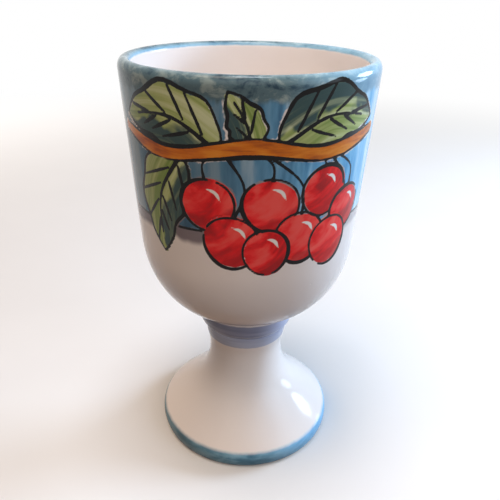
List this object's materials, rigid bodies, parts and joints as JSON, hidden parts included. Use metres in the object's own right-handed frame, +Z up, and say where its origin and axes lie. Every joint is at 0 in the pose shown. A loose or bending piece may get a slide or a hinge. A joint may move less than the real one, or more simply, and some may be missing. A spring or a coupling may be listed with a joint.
{
  "type": "ceramic chalice",
  "caption": "Glazed ceramic chalice: deep drinking bowl with a rounded lip, on a collar ring and a hollow flared pedestal foot.",
  "frame": {"origin": "centre of the standing ring under the foot, on the surface that the chalice stands on", "axes": "+Z up along the turning axis towards the mouth, -Y towards the painted front, +X to the viewer's right"},
  "size_m": [0.0846, 0.0846, 0.15],
  "materials": {
    "white_glaze": "glossy white tin glaze with painted decoration under it",
    "lavender_glaze": "glossy lavender grey brushed band",
    "fired_slip": "matt fired slip"
  },
  "bodies": {
    "root": {"bowl": "white_glaze", "bowl_slip_bed": "fired_slip", "collar_ring": "lavender_glaze", "stem_slip_bed": "fired_slip", "pedestal": "white_glaze"}
  },
  "joints": []
}
